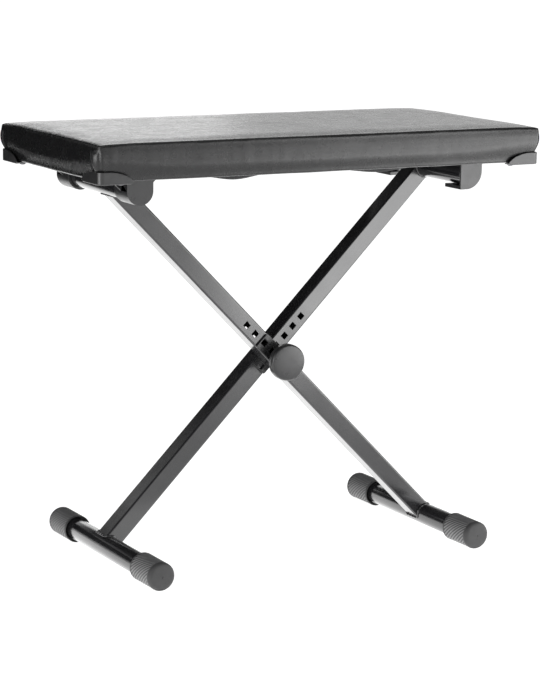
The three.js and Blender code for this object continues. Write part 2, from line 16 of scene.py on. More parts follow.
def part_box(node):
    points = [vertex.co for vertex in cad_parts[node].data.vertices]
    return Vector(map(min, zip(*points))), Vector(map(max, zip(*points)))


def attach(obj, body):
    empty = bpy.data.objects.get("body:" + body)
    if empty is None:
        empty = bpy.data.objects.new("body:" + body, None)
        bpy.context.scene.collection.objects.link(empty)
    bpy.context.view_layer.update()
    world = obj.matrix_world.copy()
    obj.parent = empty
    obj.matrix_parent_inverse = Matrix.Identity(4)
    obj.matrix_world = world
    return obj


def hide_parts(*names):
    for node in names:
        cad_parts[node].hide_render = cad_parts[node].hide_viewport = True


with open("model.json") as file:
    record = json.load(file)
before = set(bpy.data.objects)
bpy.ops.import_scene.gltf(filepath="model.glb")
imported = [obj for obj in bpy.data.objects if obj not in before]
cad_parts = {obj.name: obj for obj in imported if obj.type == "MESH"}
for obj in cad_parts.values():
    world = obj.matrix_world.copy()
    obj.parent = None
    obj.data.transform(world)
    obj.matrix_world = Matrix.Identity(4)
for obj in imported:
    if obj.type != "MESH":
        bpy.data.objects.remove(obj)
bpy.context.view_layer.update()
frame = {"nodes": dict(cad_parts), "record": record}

MM = 0.001
UP = Vector((0, 0, 1))
FORWARD = Vector((0, 1, 0))

# Camera, where the photographer stood.
CAMERA_PLACE = (-1.5606, -2.9287, 0.8893)
CAMERA_YAW = math.radians(28.08)  # from +Y towards +X
CAMERA_PITCH = math.radians(10.56)  # downwards
CAMERA_ROLL = math.radians(0.61)
LENS_MM = 126.26

# Brightness of the surroundings that the glossy surfaces mirror.
WALL_LIGHT = 1.05
CEILING_LIGHT = 0.06
WALL_TOP = 0.36  # sine of the height angle where the white wall ends
CEILING_EDGE = 0.47  # and of the one where the dark ceiling begins

# Seat cushion. The cover bulges out over the corner guards and turns in towards its hem.
CUSHION_RADIUS = 2.6 * MM  # round the edges
UPRIGHT_RADIUS = 6 * MM  # round the four upright ones
FINE_STEP = 1.1 * MM
COARSE_STEP = 4.5 * MM
FINE_REACH = 22 * MM
PROXY_STEP = 6.5 * MM
SIM_FRAMES = 10
TOP_SWELL = 2.0 * MM
SIDE_SWELL = 0.9 * MM
CORNER_BULGE = 3.2 * MM  # outside the CAD block, where the upright corners are fullest
CORNER_TUCK = 4.0 * MM  # inside the CAD block, at the foot of the corners
SIDE_BULGE = 1.4 * MM  # the same between the corners
SIDE_TUCK = 2.4 * MM
CORNER_WIDEST = 0.62  # of the cushion's height
SIDE_WIDEST = 0.42
SIDE_LEAN = 0.45  # how much of the bulge is lost again at the top
TOP_FROM = 0.5  # of the height or half height: what lies above moves with the top
END_ROLL = 2.4 * MM  # the top's ends roll over by this much
END_ROLL_REACH = 10 * MM
FACE_ROLL = 0.15 * MM  # and its front and back edges by this much
FACE_ROLL_REACH = 5 * MM
CORNER_SPREAD = 75 * MM
TOP_SINK = 0.9 * MM  # the top's edges lie this far under the CAD block's top
CORNER_DROP = 1.0 * MM
CORNER_REACH = 30 * MM

# Tucks at the upright corners: distance from the seat's face, width and height of each.
PLEAT_FOLD = (8.5 * MM, 3.4 * MM, 3.8 * MM)
PLEAT_CREASE = (18.5 * MM, 1.6 * MM, 1.2 * MM)
PLEAT_PINCH = (0, 2.5 * MM, 2.8 * MM)
PLEAT_OPENS = (-0.75, -0.1)  # of half the cushion's height
PLEAT_CLOSES = (0.45, 0.9)
PLEAT_SIZES = (1.0, 0.7, 0.7, 0.9)  # front left, rear left, front right, rear right

# Unevenness of the cover: the height of each wave or draw.
SLOW_RIPPLE = 0.4 * MM
QUICK_RIPPLE = 0.09 * MM
FINE_DRAW = 0.22 * MM
BROAD_DRAW = 0.45 * MM
END_DRAW_SHARE = 0.4  # of the draws' height, on the seat's ends
HEM_WAVE = 0.4 * MM
HEM_HEIGHT = 8 * MM  # of the wavy strip

# Dust lining and its staples.
LINING_STEP = 4 * MM
BAGS = ((-118 * MM, 37 * MM, 7.6 * MM), (97 * MM, 48 * MM, 7.2 * MM))  # place, width, depth
BAG_SPAN = (7 * MM, 17 * MM, 32 * MM)  # from the lining's front edge: start, lowest, end
LINING_SAG = 0.2 * MM
LINING_REACH = 30 * MM  # from the edge, where the sag is full
PUCKER = 0.16 * MM
PUCKER_PITCH = 20 * MM
PUCKER_REACH = 18 * MM
LINING_THICKNESS = 0.25 * MM
STAPLE_SIZE = (10 * MM, 1.1 * MM, 0.5 * MM)
STAPLE_INSET = 6 * MM
STAPLE_PITCH = 42 * MM
STAPLE_TURN = 0.12

# Steel tubes and the weld beads on them.
TUBE_WALL = 1.6 * MM
ARM_HALF_WIDTH = 12.5 * MM
BEAD_SIDES = 8
BEAD_STEP = 1.5 * MM
BEAD_CORNER_STEPS = 4
BEAD_RADIUS = 1.5 * MM

# Slanting ribs on the rubber foot caps.
RIB_STARTS = 24
RIB_SLANT = 1.3  # along the cap for each unit round it
RIB_STEPS = 6  # mesh columns for each rib
RIB_START = 2.2 * MM  # from the cap's mouth
RIB_END = 54.6 * MM
RIB_DEPTH = 0.8 * MM
PLAIN_RUBBER = 0.08  # level of the painted rib light on the smooth rubber, where a rib's crest, painted lightest, is 1
MOUTH_RECESS = 7 * MM
MOUTH_LIP = 1.2 * MM
CAP_ROUND_R = 5.6 * MM  # the round edge of a cap's end, across and along
CAP_ROUND_Y = 5.2 * MM
CAP_DOME = 0.35 * MM
CAP_FIT = 0.3 * MM  # room between a cap and its tube

# M8 thread on the carriage bolt.
THREAD_PITCH = 1.25 * MM
THREAD_DEPTH = 0.6 * MM
THREAD_LENGTH = 32 * MM
THREAD_STEPS = 6  # rings for each turn

SCREW_HEAD = 2.2 * MM  # height of the wood screws' heads


# ---- Camera, floor and light -------------------------------------------------------------


def link(obj):
    bpy.context.scene.collection.objects.link(obj)
    return obj


def add_camera():
    data = bpy.data.cameras.new("camera")
    data.lens = LENS_MM
    data.clip_end = 500
    camera = link(bpy.data.objects.new("camera", data))
    yaw = Matrix.Rotation(-CAMERA_YAW, 4, "Z")
    pitch = Matrix.Rotation(math.pi / 2 - CAMERA_PITCH, 4, "X")
    roll = Matrix.Rotation(CAMERA_ROLL, 4, "Z")
    camera.matrix_world = Matrix.Translation(CAMERA_PLACE) @ yaw @ pitch @ roll
    bpy.context.scene.camera = camera


def plane(name, width, height, place, facing):
    """A flat card whose face looks along facing."""
    x, y = width / 2, height / 2
    mesh = bpy.data.meshes.new(name)
    mesh.from_pydata([(-x, -y, 0), (x, -y, 0), (x, y, 0), (-x, y, 0)], [], [(0, 1, 2, 3)])
    card = link(bpy.data.objects.new(name, mesh))
    turn = Vector(facing).to_track_quat("Z", "Y").to_matrix().to_4x4()
    card.matrix_world = Matrix.Translation(place) @ turn
    return card


def area_light(name, width, height, place, target, radiance):
    """A soft box: radiance is the brightness of its face."""
    data = bpy.data.lights.new(name, "AREA")
    data.shape = "RECTANGLE"
    data.size, data.size_y = width, height
    data.energy = radiance * math.pi * width * height
    light = link(bpy.data.objects.new(name, data))
    away = Vector(place) - Vector(target)
    turn = away.to_track_quat("Z", "Y").to_matrix().to_4x4()
    light.matrix_world = Matrix.Translation(place) @ turn
    light.visible_camera = False


def add_floor():
    floor = plane("floor", 90, 90, (0, 0, 0), UP)
    paper = Finish("floor_paper", (0.35, 0.35, 0.35), 0.9)
    paper.set(specular=0.1, emission=1.0)
    floor.data.materials.append(paper.material)


def add_flags():
    """Black cards that the camera doesn't see. They darken what the glossy black mirrors."""
    black = Finish("flag_cloth", (0.004, 0.004, 0.004), 1.0)
    black.set(specular=0)
    for name, width, height, place, target in (
        ("flag_left", 2.0, 0.62, (-1.1, 1.3, 0.43), (0, 0, 0.43)),
        ("flag_roll", 0.95, 0.36, (-0.8, 0.85, 0.79), (-0.8, 0, 0.79)),
        ("flag_high", 1.35, 1.1, (-0.08, 2.5, 1.5), (-0.08, 0, 1.5)),
        ("flag_right", 1.5, 0.9, (1.6, 0.1, 0.46), (0, 0.1, 0.46)),
        ("flag_floor", 1.7, 1.9, (-1.4, 1.5, 0.002), (-1.4, 1.5, 1)),
    ):
        card = plane(name, width, height, place, Vector(target) - Vector(place))
        card.data.materials.append(black.material)
        card.visible_camera = False


def add_world():
    """White walls under a dark ceiling for what mirrors them; the camera sees only white."""
    world = bpy.data.worlds.new("studio")
    bpy.context.scene.world = world
    world.use_nodes = True
    nodes, links = world.node_tree.nodes, world.node_tree.links
    background = nodes["Background"]
    direction = nodes.new("ShaderNodeTexCoord").outputs["Generated"]
    height = nodes.new("ShaderNodeSeparateXYZ")
    links.new(direction, height.inputs[0])
    ramp = nodes.new("ShaderNodeValToRGB")
    links.new(height.outputs["Z"], ramp.inputs["Fac"])
    stops = ramp.color_ramp.elements
    levels = ((WALL_TOP, WALL_LIGHT), (CEILING_EDGE, CEILING_LIGHT))
    for stop, (position, light) in zip(stops, levels):
        stop.position = position
        stop.color = (light, light, light, 1)
    seen = nodes.new("ShaderNodeLightPath").outputs["Is Camera Ray"]
    mix = nodes.new("ShaderNodeMix")
    mix.data_type = "RGBA"
    mix.inputs["B"].default_value = (1, 1, 1, 1)
    links.new(seen, mix.inputs["Factor"])
    links.new(ramp.outputs["Color"], mix.inputs["A"])
    links.new(mix.outputs["Result"], background.inputs["Color"])


def add_lights():
    """Each as name, width, height, place, target and radiance."""
    for light in (
        ("top_box", 2.6, 2.0, (0.3, -0.5, 2.7), (0.1, 0, 0), 0.7),
        ("front_box", 1.25, 0.62, (0.9, -0.72, 0.34), (0, 0, 0.3), 4.3),
        ("rear_box", 0.95, 0.8, (0.95, 3.0, 0.98), (0, 0, 0.58), 0.9),
        ("left_box", 0.6, 0.7, (-1.35, -0.42, 0.42), (-0.2, -0.1, 0.3), 5.0),
        ("floor_glow", 1.5, 2.4, (0.33, 0.95, 0.003), (0.33, 0.95, 1), 0.8),
        ("front_glow", 1.6, 1.9, (0.9, -2.05, 0.003), (0.9, -2.05, 1), 0.65),
    ):
        area_light(*light)


# ---- Materials ---------------------------------------------------------------------------


class Finish:
    """A material: one Principled shader and the procedural textures that feed it."""

    NAMES = {
        "metallic": "Metallic",
        "specular": "Specular IOR Level",
        "coat": "Coat Weight",
        "coat_roughness": "Coat Roughness",
        "sheen": "Sheen Weight",
        "sheen_roughness": "Sheen Roughness",
        "ior": "IOR",
        "emission": "Emission Strength",
    }

    def __init__(self, name, color, roughness):
        self.material = bpy.data.materials.new(name)
        self.material.use_nodes = True
        tree = self.material.node_tree
        self.nodes, self.links = tree.nodes, tree.links
        self.shader = self.nodes["Principled BSDF"]
        self.color = (*color, 1)
        self.roughness = roughness
        self.shader.inputs["Base Color"].default_value = self.color
        self.shader.inputs["Roughness"].default_value = roughness
        self.shader.inputs["Emission Color"].default_value = (1, 1, 1, 1)
        self.place = self.nodes.new("ShaderNodeTexCoord").outputs["Object"]
        self.normal = None

    def set(self, **constants):
        for key, value in constants.items():
            self.shader.inputs[self.NAMES[key]].default_value = value

    def stretched(self, scale):
        mapping = self.nodes.new("ShaderNodeMapping")
        mapping.inputs["Scale"].default_value = scale
        self.links.new(self.place, mapping.inputs["Vector"])
        return mapping.outputs["Vector"]

    def noise(self, size, detail=3, stretch=None):
        """Soft blotches about size across; stretch scales the three axes."""
        texture = self.nodes.new("ShaderNodeTexNoise")
        texture.inputs["Scale"].default_value = 1 / size
        texture.inputs["Detail"].default_value = detail
        place = self.stretched(stretch) if stretch else self.place
        self.links.new(place, texture.inputs["Vector"])
        return texture.outputs["Fac"]

    def cells(self, size, feature="F1"):
        texture = self.nodes.new("ShaderNodeTexVoronoi")
        texture.feature = feature
        texture.inputs["Scale"].default_value = 1 / size
        self.links.new(self.place, texture.inputs["Vector"])
        return texture.outputs["Distance"]

    def attribute(self, name):
        """A value that the mesh stores at its points."""
        node = self.nodes.new("ShaderNodeAttribute")
        node.attribute_name = name
        return node.outputs["Fac"]

    def remap(self, value, low, high, to_low, to_high):
        node = self.nodes.new("ShaderNodeMapRange")
        sockets = ("From Min", "From Max", "To Min", "To Max")
        for socket, number in zip(sockets, (low, high, to_low, to_high)):
            node.inputs[socket].default_value = number
        self.links.new(value, node.inputs["Value"])
        return node.outputs["Result"]

    def vary_roughness(self, value, spread):
        """Roughness moves by spread either way with a texture value about 0.5."""
        rough = self.remap(value, 0.3, 0.7, self.roughness - spread, self.roughness + spread)
        self.links.new(rough, self.shader.inputs["Roughness"])

    def vary_color(self, value, other, low=0.35, high=0.65):
        """The colour goes over to the other one as the texture value rises."""
        mix = self.nodes.new("ShaderNodeMix")
        mix.data_type = "RGBA"
        mix.inputs["A"].default_value = self.color
        mix.inputs["B"].default_value = (*other, 1)
        self.links.new(self.remap(value, low, high, 0, 1), mix.inputs["Factor"])
        self.links.new(mix.outputs["Result"], self.shader.inputs["Base Color"])

    def bump(self, value, depth):
        """Relief depth metres deep, on top of any relief added before."""
        node = self.nodes.new("ShaderNodeBump")
        node.inputs["Distance"].default_value = depth
        self.links.new(value, node.inputs["Height"])
        if self.normal:
            self.links.new(self.normal, node.inputs["Normal"])
        self.normal = node.outputs["Normal"]
        self.links.new(self.normal, self.shader.inputs["Normal"])


def frame_paint():
    """Gloss black powder coat, with the faint orange peel and haze of baked paint."""
    finish = Finish("gloss_powder_coat", (0.011, 0.011, 0.012), 0.21)
    finish.set(specular=0.62, coat=0.35, coat_roughness=0.12)
    finish.vary_roughness(finish.noise(45 * MM, 5), 0.05)
    finish.vary_color(finish.noise(8 * MM, 6), (0.017, 0.017, 0.018), 0.45, 0.8)
    finish.bump(finish.noise(2.2 * MM, 2), 0.012 * MM)
    finish.bump(finish.noise(16 * MM, 2), 0.04 * MM)
    return finish.material


def cap_rubber():
    """Black rubber with painted light: its rib crests are painted lighter grey and its grooves
    darker, as lit and shaded ribs.
    """
    finish = Finish("moulded_rubber", (0.024, 0.024, 0.0245), 0.6)
    finish.set(specular=0.4)
    finish.vary_roughness(finish.noise(9 * MM, 4), 0.09)
    # Painted highlight on the rib crests and painted shade in the grooves, from values stored on
    # the cap's mesh.
    finish.vary_color(finish.attribute("painted_rib_light"), (0.17, 0.17, 0.172), 0, 1)
    finish.bump(finish.noise(0.35 * MM, 3), 0.03 * MM)
    finish.bump(finish.noise(3 * MM, 4), 0.05 * MM)
    return finish.material


def black_plastic():
    """Satin moulded nylon with a fine spark-eroded texture."""
    finish = Finish("satin_moulding", (0.014, 0.014, 0.0147), 0.33)
    finish.set(specular=0.55)
    finish.vary_roughness(finish.noise(12 * MM, 4), 0.06)
    finish.vary_color(finish.noise(30 * MM, 4), (0.025, 0.025, 0.0257), 0.35, 0.7)
    finish.bump(finish.noise(0.5 * MM, 3), 0.025 * MM)
    finish.bump(finish.noise(22 * MM, 1), 0.08 * MM)
    return finish.material


def dark_plastic():
    """Glass-filled nylon, darker and glossier than the mouldings under the seat."""
    finish = Finish("dark_moulding", (0.010, 0.010, 0.0105), 0.28)
    finish.set(specular=0.5)
    finish.vary_roughness(finish.noise(6 * MM, 4), 0.06)
    finish.vary_color(finish.noise(3 * MM, 5), (0.02, 0.02, 0.021), 0.4, 0.8)
    finish.bump(finish.noise(0.8 * MM, 3), 0.015 * MM)
    return finish.material


def leatherette():
    """Black vinyl with a fine pebbled grain, cloudy where the foam shows through."""
    finish = Finish("pebbled_vinyl", (0.0055, 0.0055, 0.0058), 0.27)
    finish.set(specular=0.42, coat=0.08, coat_roughness=0.24, sheen=0.01, sheen_roughness=0.4)
    finish.vary_roughness(finish.noise(16 * MM, 5), 0.03)
    finish.vary_color(finish.noise(5 * MM, 6), (0.0085, 0.0085, 0.0088), 0.4, 0.8)
    finish.bump(finish.noise(24 * MM, 2), 0.028 * MM)
    finish.bump(finish.noise(4 * MM, 2, (1.4, 1.4, 0.5)), 0.01 * MM)
    grain = finish.remap(finish.cells(1.25 * MM, "DISTANCE_TO_EDGE"), 0, 0.35, 0, 1)
    finish.bump(grain, 0.06 * MM)
    finish.bump(finish.noise(0.4 * MM, 3), 0.03 * MM)
    return finish.material


def dust_cloth():
    """Spun-bonded black cloth: a felt of short fibres."""
    finish = Finish("spun_bonded_cloth", (0.006, 0.006, 0.0065), 0.92)
    finish.set(specular=0.15, sheen=0.06, sheen_roughness=0.6)
    fibres = finish.noise(1.1 * MM, 6, (1.0, 0.35, 1.0))
    finish.vary_color(fibres, (0.014, 0.014, 0.015), 0.4, 0.7)
    finish.bump(fibres, 0.12 * MM)
    finish.bump(finish.cells(2.4 * MM), 0.08 * MM)
    return finish.material


def zinc_steel():
    finish = Finish("bright_zinc", (0.46, 0.47, 0.49), 0.3)
    finish.set(metallic=1)
    finish.vary_roughness(finish.noise(3 * MM, 5), 0.08)
    finish.vary_color(finish.noise(4 * MM, 4), (0.36, 0.36, 0.34))
    finish.bump(finish.noise(0.8 * MM, 3, (1, 0.2, 1)), 0.015 * MM)
    return finish.material


def black_steel():
    finish = Finish("black_zinc", (0.09, 0.09, 0.10), 0.38)
    finish.set(metallic=1)
    finish.vary_roughness(finish.noise(2 * MM, 4), 0.1)
    finish.vary_color(finish.noise(1.5 * MM, 5), (0.17, 0.17, 0.18), 0.5, 0.8)
    finish.bump(finish.noise(0.6 * MM, 3), 0.012 * MM)
    return finish.material


def turned_brass():
    finish = Finish("turned_brass", (0.55, 0.40, 0.15), 0.33)
    finish.set(metallic=1)
    finish.vary_roughness(finish.noise(2 * MM, 4), 0.08)
    finish.bump(finish.noise(0.5 * MM, 3, (0.2, 4, 0.2)), 0.01 * MM)
    return finish.material


def plywood():
    """Birch ply: long figure along the face and thin layers through the edge."""
    finish = Finish("birch_ply", (0.52, 0.35, 0.19), 0.7)
    figure = finish.noise(9 * MM, 8, (0.06, 1, 4))
    finish.vary_color(figure, (0.34, 0.20, 0.09))
    finish.bump(figure, 0.1 * MM)
    return finish.material


# ---- Pieces ------------------------------------------------------------------------------


def smooth(value, low, high):
    """0 below low, 1 above high and an even curve between."""
    t = np.clip((value - low) / (high - low), 0, 1)
    return t * t * (3 - 2 * t)


def centre(node):
    low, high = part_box(node)
    return (low + high) / 2


def body_of(node):
    bodies = frame["record"]["behaviour"]["bodies"]
    return next(name for name, nodes in bodies.items() if node in nodes)


def add_object(name, vertices, faces, sharp=35):
    """A closed mesh, smooth but for edges sharper than the angle in degrees."""
    mesh = bpy.data.meshes.new(name)
    mesh.from_pydata(np.asarray(vertices, dtype=float).tolist(), [], faces)
    work = bmesh.new()
    work.from_mesh(mesh)
    bmesh.ops.recalc_face_normals(work, faces=work.faces)
    work.to_mesh(mesh)
    work.free()
    mesh.shade_smooth()
    mesh.set_sharp_from_angle(angle=math.radians(sharp))
    return link(bpy.data.objects.new(name, mesh))


def place_piece(obj, nodes, material):
    """The piece stands for these nodes: it hides them, and rides on the first one's body."""
    obj.data.materials.clear()
    obj.data.materials.append(material)
    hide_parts(*nodes)
    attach(obj, body_of(nodes[0]))


def add_trim(obj, body, material):
    """A detail with no CAD node of its own."""
    obj.data.materials.append(material)
    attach(obj, body)
    return obj


def finish_node(node, material):
    """A CAD node that stays as it is, under a better material."""
    obj = frame["nodes"][node]
    if not obj.material_slots:
        obj.data.materials.append(None)
    for place in obj.material_slots:
        place.link = "OBJECT"
        place.material = material


def on_outer_hem(edge, low, high):
    """True for an edge of the underside on a side turned away from the seat's middle."""
    reach = 3 * MM
    for vertex in edge.verts:
        place = vertex.co
        at_end = abs(place.x) > max(abs(low.x), abs(high.x)) - reach
        at_face = abs(place.y) > max(abs(low.y), abs(high.y)) - reach
        if place.z > low.z + 0.05 * MM or not (at_end or at_face):
            return False
    return len(edge.link_faces) == 2 and edge.calc_face_angle() > 0.5


def refined(name, node, bevel, hem=0):
    """A copy of a CAD node with its flats merged, its edges eased and its round faces smooth.

    hem rounds the outer edges of its underside.
    """
    mesh = frame["nodes"][node].data.copy()
    work = bmesh.new()
    work.from_mesh(mesh)
    bmesh.ops.remove_doubles(work, verts=work.verts, dist=0.002 * MM)
    bmesh.ops.dissolve_limit(
        work, angle_limit=math.radians(0.5), verts=work.verts, edges=work.edges,
        use_dissolve_boundaries=False)
    bmesh.ops.recalc_face_normals(work, faces=work.faces)
    if hem:
        low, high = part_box(node)
        outer = [edge for edge in work.edges if on_outer_hem(edge, low, high)]
        bmesh.ops.bevel(work, geom=outer, offset=hem, segments=4, affect="EDGES", profile=0.5)
    work.to_mesh(mesh)
    work.free()
    if "custom_normal" in mesh.attributes:
        mesh.attributes.remove(mesh.attributes["custom_normal"])
    mesh.shade_smooth()
    obj = link(bpy.data.objects.new(name, mesh))
    ease = obj.modifiers.new("ease", "BEVEL")
    ease.width = bevel
    ease.segments = 2
    ease.limit_method = "ANGLE"
    ease.angle_limit = math.radians(34)
    ease.harden_normals = True
    flat = obj.modifiers.new("flat", "WEIGHTED_NORMAL")
    flat.keep_sharp = True
    return obj


def bridged(rings, count, closed=False):
    """Faces between neighbouring rings of count points; a ring of one point makes triangles."""
    pairs = list(zip(rings, rings[1:]))
    if closed:
        pairs.append((rings[-1], rings[0]))
    faces = []
    for a, b in pairs:
        for k in range(count):
            turn = (k + 1) % count
            quad = [a[k % len(a)], a[turn % len(a)], b[turn % len(b)], b[k % len(b)]]
            faces.append(list(dict.fromkeys(quad)))
    return faces


def lathe(name, profile, axis, closed=False, steps=72, sharp=35):
    """Turned about the line through axis that is parallel to Y, from (radius, y) pairs."""
    vertices, rings = [], []
    for radius, y in profile:
        count = steps if radius > 0 else 1
        rings.append(range(len(vertices), len(vertices) + count))
        for k in range(count):
            angle = math.tau * k / steps
            x, z = axis.x + radius * math.sin(angle), axis.z + radius * math.cos(angle)
            vertices.append((x, y, z))
    return add_object(name, vertices, bridged(rings, steps, closed), sharp)


def arc(radius, y, size_r, size_y, start, end, steps=6):
    """Points round (radius, y), on an ellipse; 0 degrees points outwards and 90 towards +Y."""
    angles = np.radians(np.linspace(start, end, steps + 1))
    return [(radius + size_r * math.cos(a), y + size_y * math.sin(a)) for a in angles]


def ring_profile(inner, outer, y0, y1, edge):
    """Section of a tube or washer with eased edges."""
    return [
        *arc(outer - edge, y0 + edge, edge, edge, -90, 0, 3),
        *arc(outer - edge, y1 - edge, edge, edge, 0, 90, 3),
        *arc(inner + edge, y1 - edge, edge, edge, 90, 180, 3),
        *arc(inner + edge, y0 + edge, edge, edge, 180, 270, 3),
    ]


def add_tube(name, node, wall, material):
    low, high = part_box(node)
    outer = (high.z - low.z) / 2
    profile = ring_profile(outer - wall, outer, low.y, high.y, 0.4 * MM)
    tube = lathe(name, profile, centre(node), closed=True, steps=96)
    place_piece(tube, [node], material)


# ---- Foot caps ---------------------------------------------------------------------------


def cap_rows(radius, bore, tube_end, length):
    """Rows of a foot cap as (distance from the mouth, radius, rib depth)."""
    ribbed = np.arange(RIB_START, RIB_END, math.tau * radius / (RIB_STARTS * RIB_STEPS) * RIB_SLANT)
    fade = 3 * MM
    fade_in = smooth(ribbed, RIB_START, RIB_START + fade)
    depths = RIB_DEPTH * fade_in * (1 - smooth(ribbed, RIB_END - fade, RIB_END))
    inner = radius - CAP_ROUND_R
    edge = arc(inner, length - CAP_DOME - CAP_ROUND_Y, CAP_ROUND_R, CAP_ROUND_Y, 0, 90, 9)
    rounding = [(y, r, 0) for r, y in edge]
    face = [(length - CAP_DOME * f ** 2, f * inner, 0) for f in (0.75, 0.5, 0.25)]
    dimple = [(length, 1.5 * MM, 0), (length - 0.5 * MM, 0.9 * MM, 0), (length - 0.7 * MM, 0, 0)]
    lip = radius - MOUTH_LIP
    return [
        (tube_end, 0, 0),
        (tube_end, bore, 0),
        (MOUTH_RECESS + 1 * MM, bore, 0),
        (MOUTH_RECESS, bore + 1 * MM, 0),
        (MOUTH_RECESS, lip, 0),
        (0.3 * MM, lip, 0),
        (0, lip + 0.3 * MM, 0),
        (0, radius - 0.5 * MM, 0),
        (0.4 * MM, radius - 0.1 * MM, 0),
        (1.2 * MM, radius, 0),
        *((float(y), radius, float(depth)) for y, depth in zip(ribbed, depths)),
        *rounding,
        *face,
        *dimple,
    ]


def ribbed_cap(name, node, material):
    """Rubber cap with slanting ribs round its side and a smooth domed end."""
    low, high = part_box(node)
    axis = centre(node)
    side = math.copysign(1, axis.y)
    mouth = min(abs(low.y), abs(high.y))
    length = max(abs(low.y), abs(high.y)) - mouth
    radius = (high.z - low.z) / 2
    tube_radius, tube_end = frame_tube_end(axis.x)
    rows = cap_rows(radius, tube_radius + CAP_FIT, tube_end + CAP_FIT - mouth, length)
    columns = RIB_STARTS * RIB_STEPS
    pitch = math.tau * radius / RIB_STARTS * RIB_SLANT
    vertices, rings, painted_rib_lights = [], [], []
    for distance, r, depth in rows:
        count = columns if r > 0 else 1
        rings.append(range(len(vertices), len(vertices) + count))
        for k in range(count):
            turn = k / columns
            wave = math.cos(math.tau * (turn * RIB_STARTS + side * distance / pitch))
            groove = (0.5 + 0.5 * wave) ** 2
            out = r - depth * groove
            angle = math.tau * turn
            y = side * (mouth + distance)
            x, z = axis.x + out * math.sin(angle), axis.z + out * math.cos(angle)
            vertices.append((x, y, z))
            # Painted light stored on the mesh: 1 for a lit rib crest, 0 for a shaded groove, a low
            # level on the smooth rubber.
            painted_rib_lights.append(depth / RIB_DEPTH * (1 - groove) ** 2 if depth else PLAIN_RUBBER)
    cap = add_object(name, vertices, bridged(rings, columns), sharp=40)
    cap.data.attributes.new("painted_rib_light", "FLOAT", "POINT").data.foreach_set("value", painted_rib_lights)
    place_piece(cap, [node], material)


def frame_tube_end(x):
    """(outer radius, |Y| of its ends) of the foot tube on that side."""
    low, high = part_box("left_foot_tube" if x < 0 else "right_foot_tube")
    return (high.z - low.z) / 2, high.y


# ---- Frame -------------------------------------------------------------------------------


def weld_bead(name, arm, tube, material):
    """A lumpy fillet weld where an arm meets a round tube."""
    low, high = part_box(arm)
    top, foot = (centre(n) for n in arm_tubes(arm))
    along = (top - foot).normalized()
    along.y = 0
    across = Vector((along.z, 0, -along.x))
    axis = centre(tube)
    inward = -along if tube.endswith("crossbar") else along
    radius = (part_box(tube)[1].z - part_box(tube)[0].z) / 2
    half_depth = (high.y - low.y) / 2
    middle = Vector((axis.x, (low.y + high.y) / 2, axis.z))
    path = rounded_loop(ARM_HALF_WIDTH, half_depth, 2.5 * MM, 1.1 * MM)
    vertices, rings = [], []
    for i, (u, v, out_u, out_v) in enumerate(path):
        lift = math.sqrt(max(radius ** 2 - u ** 2, 0))
        point = middle + across * u + FORWARD * v + inward * (lift + 0.5 * MM)
        outward = across * out_u + FORWARD * out_v
        uneven = noise(Vector((i * 0.6, axis.x * 40, axis.z * 40)))
        size = BEAD_RADIUS * (1 + 0.16 * math.sin(i * 1.35) + 0.12 * uneven)
        rings.append(range(len(vertices), len(vertices) + BEAD_SIDES))
        for k in range(BEAD_SIDES):
            angle = math.tau * k / BEAD_SIDES
            out, into = size * math.cos(angle), size * math.sin(angle)
            vertices.append(point + outward * out + inward * into)
    bead = add_object(name, vertices, bridged(rings, BEAD_SIDES, closed=True), sharp=80)
    add_trim(bead, body_of(arm), material)


def arm_tubes(arm):
    if arm == "front_arm":
        return "left_crossbar", "right_foot_tube"
    return "right_crossbar", "left_foot_tube"


def rounded_loop(half_u, half_v, radius, offset):
    """Points (u, v, outward u, outward v) about BEAD_STEP apart round a rounded rectangle."""
    loop = []
    corner = radius + offset
    for quarter in range(4):
        turn = quarter * math.pi / 2
        cos, sin = round(math.cos(turn)), round(math.sin(turn))
        reach, width = (half_u, half_v) if quarter % 2 == 0 else (half_v, half_u)
        straight = width - radius
        count = max(2, round(2 * straight / BEAD_STEP))
        for k in range(count):
            side = -straight + 2 * straight * k / count
            u, v = reach + offset, side
            loop.append((u * cos - v * sin, u * sin + v * cos, cos, sin))
        for k in range(BEAD_CORNER_STEPS):
            angle = math.pi / (2 * BEAD_CORNER_STEPS) * (k + 0.5)
            u = reach - radius + corner * math.cos(angle)
            v = straight + corner * math.sin(angle)
            out = (math.cos(angle), math.sin(angle))
            loop.append((
                u * cos - v * sin, u * sin + v * cos,
                out[0] * cos - out[1] * sin, out[0] * sin + out[1] * cos,
            ))
    return loop


def add_frame(paint, dark, rubber):
    for arm in ("front_arm", "rear_arm"):
        place_piece(refined(f"{arm}_tube", arm, 0.35 * MM), [arm], paint)
        for tube in arm_tubes(arm):
            weld_bead(f"{arm}_weld_{'top' if 'crossbar' in tube else 'foot'}", arm, tube, paint)
    for node in ("left_crossbar", "right_crossbar", "left_foot_tube", "right_foot_tube"):
        add_tube(f"{node}_round", node, TUBE_WALL, paint)
    for end in ("front", "rear"):
        for side in ("left", "right"):
            ribbed_cap(f"{end}_{side}_ribbed_cap", f"{end}_{side}_foot_cap", rubber)
    for node in ("clamp_plate", "arm_spacer"):
        place_piece(refined(f"{node}_moulding", node, 0.5 * MM), [node], dark)


# ---- Knob and bolt -----------------------------------------------------------------------


